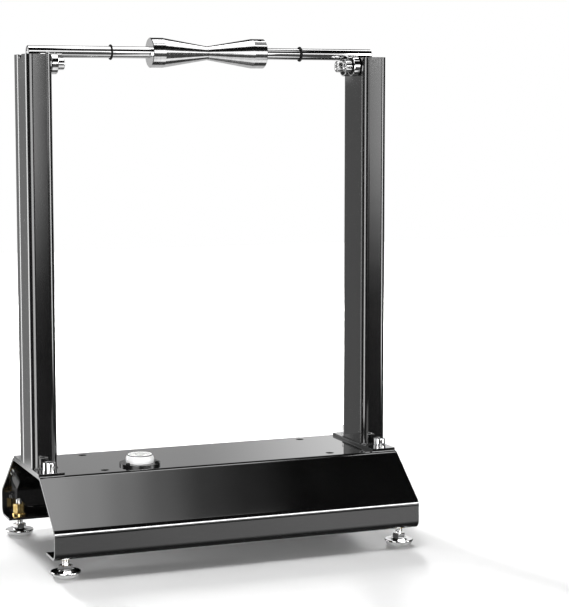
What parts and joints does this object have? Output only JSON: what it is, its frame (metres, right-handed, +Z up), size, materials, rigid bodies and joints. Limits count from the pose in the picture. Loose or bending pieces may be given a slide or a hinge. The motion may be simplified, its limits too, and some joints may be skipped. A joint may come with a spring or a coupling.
{
  "type": "wheel balancing stand",
  "caption": "Free-standing wheel balancing stand: bent sheet base on levelling feet, tube posts, and a polished shaft with centring cones that rolls on ball bearings.",
  "frame": {"origin": "on the floor, under the middle of the base", "axes": "+X along the shaft, +Y from front to back, +Z up"},
  "size_m": [0.415, 0.24, 0.5613],
  "materials": {
    "black_paint": "gloss black powder coat",
    "screw_chrome": "bright plated steel",
    "shaft_chrome": "hard chrome, polished",
    "cone_steel": "fine turned and plated",
    "set_screw_steel": "blackened steel",
    "bearing_steel": "ground bearing steel",
    "cage_brass": "pressed brass",
    "black_rubber": "matt black rubber",
    "black_plastic": "moulded black plastic",
    "white_plastic": "gloss white plastic",
    "clear_lens": "clear plastic",
    "level_fluid": "clear fluid",
    "level_bubble": "air",
    "foot_chrome": "bright plated steel",
    "pad_plastic": "pale moulded plastic",
    "yellow_zinc": "yellow zinc plated steel"
  },
  "bodies": {
    "stand": {"base_channel": "black_paint", "left_post": "black_paint", "right_post": "black_paint", "left_foot_plate": "black_paint", "right_foot_plate": "black_paint", "post_screws": "screw_chrome", "post_lock_washers": "screw_chrome", "post_nuts": "screw_chrome", "bearing_screws": "screw_chrome", "bearing_spacers": "screw_chrome", "bearing_nuts": "screw_chrome", "bearing_inner_rings": "bearing_steel", "level_flange": "black_plastic", "level_cup": "white_plastic", "level_lens": "clear_lens", "level_fluid": "level_fluid", "level_bubble": "level_bubble", "level_screws": "set_screw_steel", "foot_rivet_nuts": "yellow_zinc"},
    "shaft": {"shaft": "shaft_chrome"},
    "left_cone": {"left_cone": "cone_steel", "left_set_screw": "set_screw_steel"},
    "right_cone": {"right_cone": "cone_steel", "right_set_screw": "set_screw_steel"},
    "left_stop_ring": {"left_stop_ring": "black_rubber"},
    "right_stop_ring": {"right_stop_ring": "black_rubber"},
    "left_front_bearing": {"left_front_bearing_ring": "bearing_steel", "left_front_bearing_seals": "black_rubber"},
    "left_front_bearing_cage": {"left_front_bearing_balls": "bearing_steel", "left_front_bearing_cage": "cage_brass"},
    "left_front_foot": {"left_front_foot_stud": "foot_chrome", "left_front_foot_saucer": "foot_chrome", "left_front_foot_pad": "pad_plastic"},
    "left_rear_bearing": {"left_rear_bearing_ring": "bearing_steel", "left_rear_bearing_seals": "black_rubber"},
    "left_rear_bearing_cage": {"left_rear_bearing_balls": "bearing_steel", "left_rear_bearing_cage": "cage_brass"},
    "left_rear_foot": {"left_rear_foot_stud": "foot_chrome", "left_rear_foot_saucer": "foot_chrome", "left_rear_foot_pad": "pad_plastic"},
    "right_front_bearing": {"right_front_bearing_ring": "bearing_steel", "right_front_bearing_seals": "black_rubber"},
    "right_front_bearing_cage": {"right_front_bearing_balls": "bearing_steel", "right_front_bearing_cage": "cage_brass"},
    "right_front_foot": {"right_front_foot_stud": "foot_chrome", "right_front_foot_saucer": "foot_chrome", "right_front_foot_pad": "pad_plastic"},
    "right_rear_bearing": {"right_rear_bearing_ring": "bearing_steel", "right_rear_bearing_seals": "black_rubber"},
    "right_rear_bearing_cage": {"right_rear_bearing_balls": "bearing_steel", "right_rear_bearing_cage": "cage_brass"},
    "right_rear_foot": {"right_rear_foot_stud": "foot_chrome", "right_rear_foot_saucer": "foot_chrome", "right_rear_foot_pad": "pad_plastic"}
  },
  "joints": [
    {"name": "shaft_spin", "type": "hinge", "parent": "stand", "child": "shaft", "pos_m": [0, 0, 0.54512], "axis": [1, 0, 0], "continuous": true},
    {"name": "left_cone_slide", "type": "slide", "parent": "shaft", "child": "left_cone", "axis": [-1, 0, 0], "range_m": [0, 0.042]},
    {"name": "left_stop_ring_slide", "type": "slide", "parent": "shaft", "child": "left_stop_ring", "axis": [-1, 0, 0], "range_m": [0, 0.057]},
    {"name": "right_cone_slide", "type": "slide", "parent": "shaft", "child": "right_cone", "axis": [1, 0, 0], "range_m": [0, 0.042]},
    {"name": "right_stop_ring_slide", "type": "slide", "parent": "shaft", "child": "right_stop_ring", "axis": [1, 0, 0], "range_m": [0, 0.057]},
    {"name": "left_front_bearing_spin", "type": "hinge", "parent": "stand", "child": "left_front_bearing", "pos_m": [0, -0.0115, 0.532], "axis": [1, 0, 0], "continuous": true},
    {"name": "left_front_bearing_cage_spin", "type": "hinge", "parent": "stand", "child": "left_front_bearing_cage", "pos_m": [0, -0.0115, 0.532], "axis": [1, 0, 0], "continuous": true},
    {"name": "left_front_foot_screw", "type": "slide", "parent": "stand", "child": "left_front_foot", "axis": [0, 0, 1], "range_m": [-0.012, 0.0055]},
    {"name": "left_rear_bearing_spin", "type": "hinge", "parent": "stand", "child": "left_rear_bearing", "pos_m": [0, 0.0115, 0.532], "axis": [1, 0, 0], "continuous": true},
    {"name": "left_rear_bearing_cage_spin", "type": "hinge", "parent": "stand", "child": "left_rear_bearing_cage", "pos_m": [0, 0.0115, 0.532], "axis": [1, 0, 0], "continuous": true},
    {"name": "left_rear_foot_screw", "type": "slide", "parent": "stand", "child": "left_rear_foot", "axis": [0, 0, 1], "range_m": [-0.012, 0.0055]},
    {"name": "right_front_bearing_spin", "type": "hinge", "parent": "stand", "child": "right_front_bearing", "pos_m": [0, -0.0115, 0.532], "axis": [1, 0, 0], "continuous": true},
    {"name": "right_front_bearing_cage_spin", "type": "hinge", "parent": "stand", "child": "right_front_bearing_cage", "pos_m": [0, -0.0115, 0.532], "axis": [1, 0, 0], "continuous": true},
    {"name": "right_front_foot_screw", "type": "slide", "parent": "stand", "child": "right_front_foot", "axis": [0, 0, 1], "range_m": [-0.012, 0.0055]},
    {"name": "right_rear_bearing_spin", "type": "hinge", "parent": "stand", "child": "right_rear_bearing", "pos_m": [0, 0.0115, 0.532], "axis": [1, 0, 0], "continuous": true},
    {"name": "right_rear_bearing_cage_spin", "type": "hinge", "parent": "stand", "child": "right_rear_bearing_cage", "pos_m": [0, 0.0115, 0.532], "axis": [1, 0, 0], "continuous": true},
    {"name": "right_rear_foot_screw", "type": "slide", "parent": "stand", "child": "right_rear_foot", "axis": [0, 0, 1], "range_m": [-0.012, 0.0055]}
  ],
  "couplings": [
    {"joint": "left_front_bearing_spin", "follows": "shaft_spin", "ratio": -0.57727},
    {"joint": "left_front_bearing_cage_spin", "follows": "shaft_spin", "ratio": -0.36503},
    {"joint": "left_rear_bearing_spin", "follows": "shaft_spin", "ratio": -0.57727},
    {"joint": "left_rear_bearing_cage_spin", "follows": "shaft_spin", "ratio": -0.36503},
    {"joint": "right_front_bearing_spin", "follows": "shaft_spin", "ratio": -0.57727},
    {"joint": "right_front_bearing_cage_spin", "follows": "shaft_spin", "ratio": -0.36503},
    {"joint": "right_rear_bearing_spin", "follows": "shaft_spin", "ratio": -0.57727},
    {"joint": "right_rear_bearing_cage_spin", "follows": "shaft_spin", "ratio": -0.36503}
  ]
}
